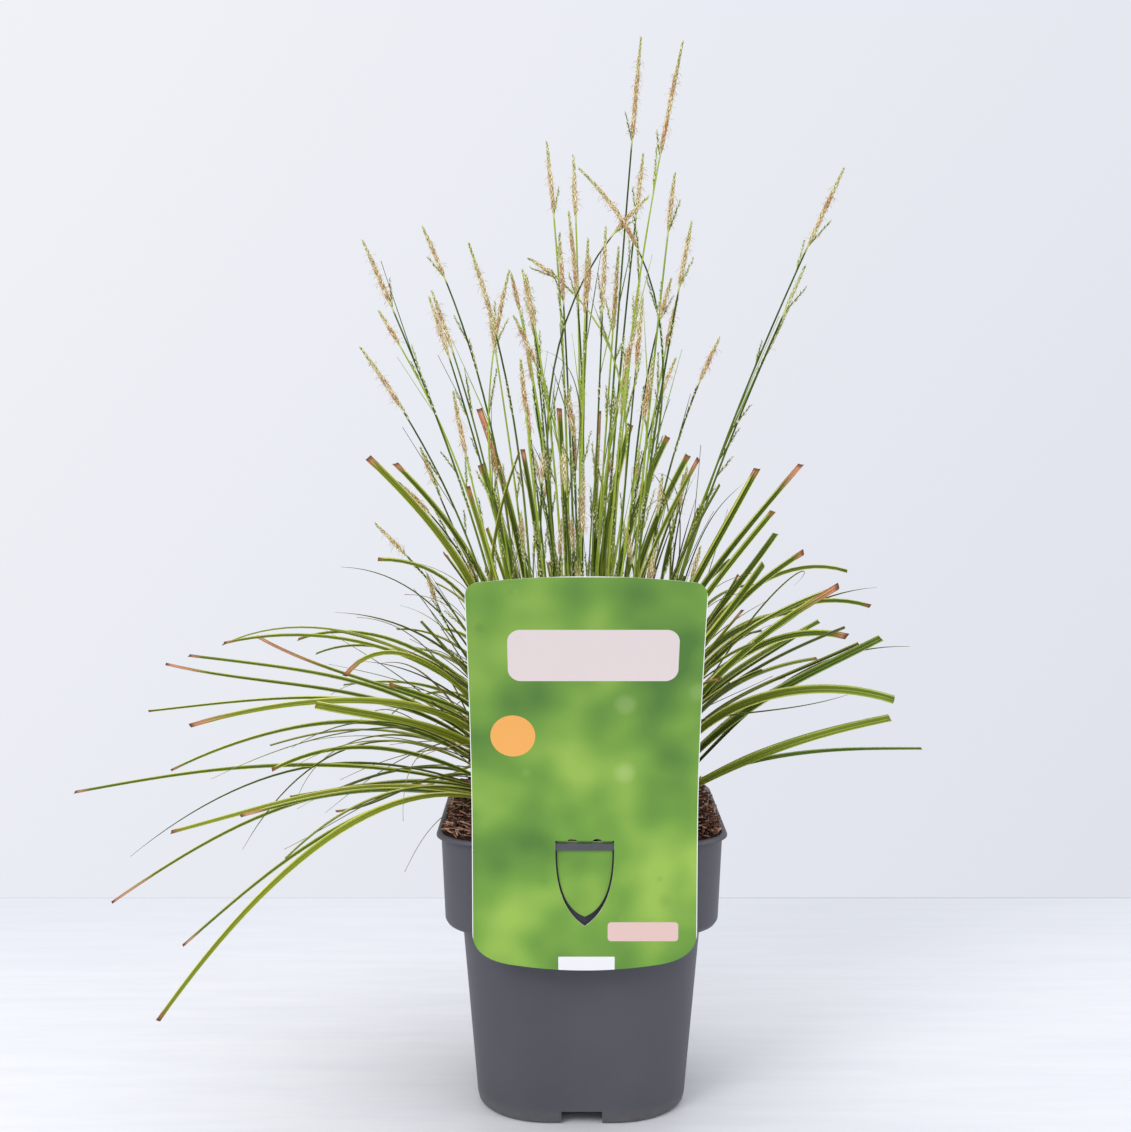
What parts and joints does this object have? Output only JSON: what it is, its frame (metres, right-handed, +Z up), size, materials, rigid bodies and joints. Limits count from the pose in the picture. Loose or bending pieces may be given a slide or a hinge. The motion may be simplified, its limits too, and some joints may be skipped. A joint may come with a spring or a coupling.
{
  "type": "potted sedge",
  "caption": "Grass-like sedge with arching, trimmed variegated blades and tall flower stems, in a rounded-square nursery pot with a hanging card label.",
  "frame": {"origin": "middle of the pot's flat base, on the surface that the pot stands on", "axes": "+Z up, -Y towards the label's face, +X to the right seen from the label's side"},
  "size_m": [0.5072, 0.4103, 0.64],
  "materials": {
    "pot": "matt dark grey moulded plastic, fine satin sheen",
    "soil": "dark brown potting mix of bark and reddish coir fibre",
    "label": "thin printed plastic card, white cut edges",
    "leaf": "leathery green blade with yellow margins, brown cut tip",
    "flower": "dry golden-tan scales on a green stem"
  },
  "bodies": {
    "root": {"pot": "pot", "soil": "soil", "label": "label", "leaf_tuft_01": "leaf", "leaf_tuft_02": "leaf", "leaf_tuft_03": "leaf", "leaf_tuft_04": "leaf", "leaf_tuft_05": "leaf", "leaf_tuft_06": "leaf", "leaf_tuft_07": "leaf", "leaf_tuft_08": "leaf", "leaf_tuft_09": "leaf", "leaf_tuft_10": "leaf", "leaf_tuft_11": "leaf", "leaf_tuft_12": "leaf", "leaf_tuft_13": "leaf", "leaf_tuft_14": "leaf", "flower_stems_01": "flower", "flower_stems_02": "flower", "flower_stems_03": "flower", "flower_stems_04": "flower", "flower_stems_05": "flower", "flower_stems_06": "flower", "flower_stems_07": "flower", "flower_stems_08": "flower", "flower_stems_09": "flower", "flower_stems_10": "flower", "flower_stems_11": "flower", "flower_stems_12": "flower", "flower_stems_13": "flower", "flower_stems_14": "flower", "flower_stems_centre": "flower"}
  },
  "joints": []
}
